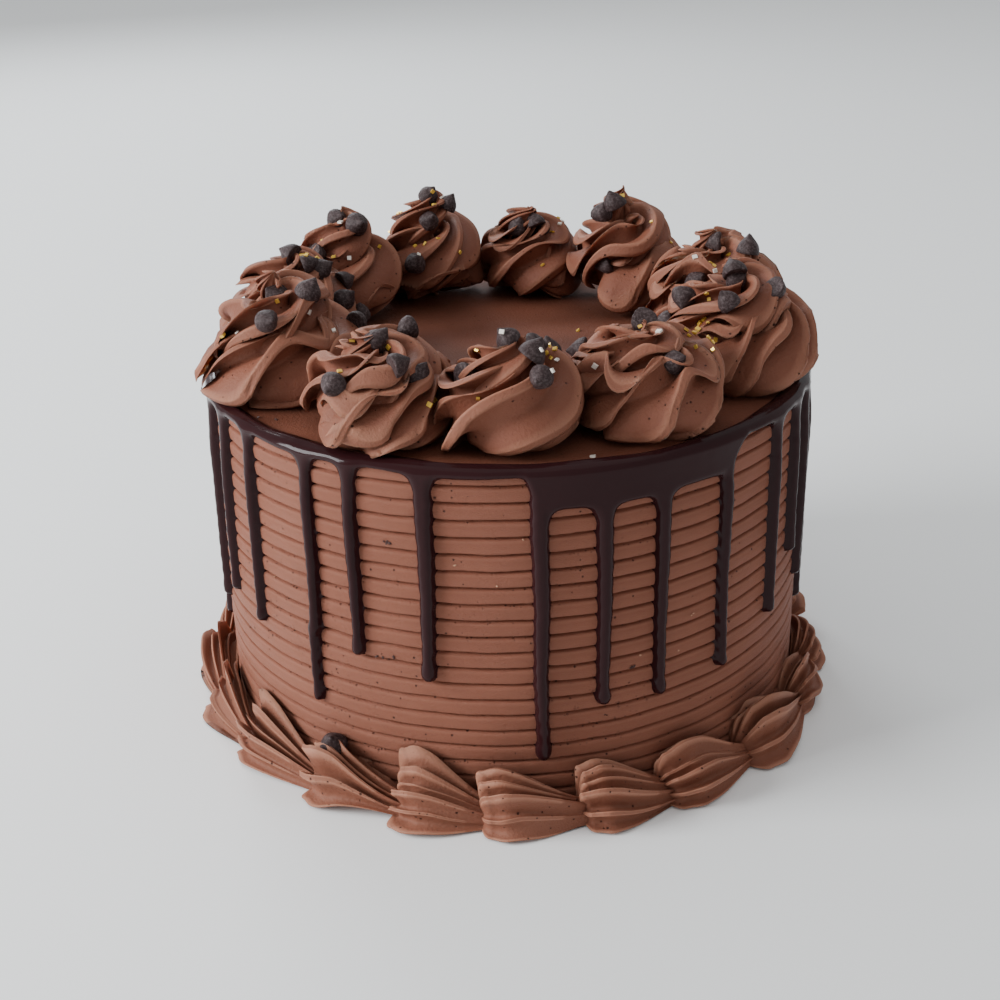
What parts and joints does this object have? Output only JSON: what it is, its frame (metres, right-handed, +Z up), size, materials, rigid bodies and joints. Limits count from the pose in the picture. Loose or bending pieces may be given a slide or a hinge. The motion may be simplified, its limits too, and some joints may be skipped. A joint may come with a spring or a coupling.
{
  "type": "drip cake",
  "caption": "Round chocolate drip cake with combed buttercream sides, a dark ganache rim and drips, piped swirls with chocolate chips on top, and a shell border.",
  "frame": {"origin": "centre of the cake's flat underside, on the surface it stands on", "axes": "+Z up; -Y is the front seen in the picture; +X is to the right in it"},
  "size_m": [0.1841, 0.1866, 0.1278],
  "materials": {
    "buttercream": "milk chocolate buttercream, satin, with small air pits",
    "ganache": "dark chocolate ganache, glossy"
  },
  "bodies": {
    "root": {"cake_body": "buttercream", "ganache_drip": "ganache", "swirl_01": "buttercream", "swirl_02": "buttercream", "swirl_03": "buttercream", "swirl_04": "buttercream", "swirl_05": "buttercream", "swirl_06": "buttercream", "swirl_07": "buttercream", "swirl_08": "buttercream", "swirl_09": "buttercream", "swirl_10": "buttercream", "swirl_11": "buttercream", "shell_01": "buttercream", "shell_02": "buttercream", "shell_03": "buttercream", "shell_04": "buttercream", "shell_05": "buttercream", "shell_06": "buttercream", "shell_07": "buttercream", "shell_08": "buttercream", "shell_09": "buttercream", "shell_10": "buttercream", "shell_11": "buttercream", "shell_12": "buttercream", "shell_13": "buttercream", "shell_14": "buttercream", "shell_15": "buttercream", "shell_16": "buttercream", "shell_17": "buttercream", "shell_18": "buttercream", "shell_19": "buttercream", "shell_20": "buttercream", "shell_21": "buttercream"}
  },
  "joints": []
}
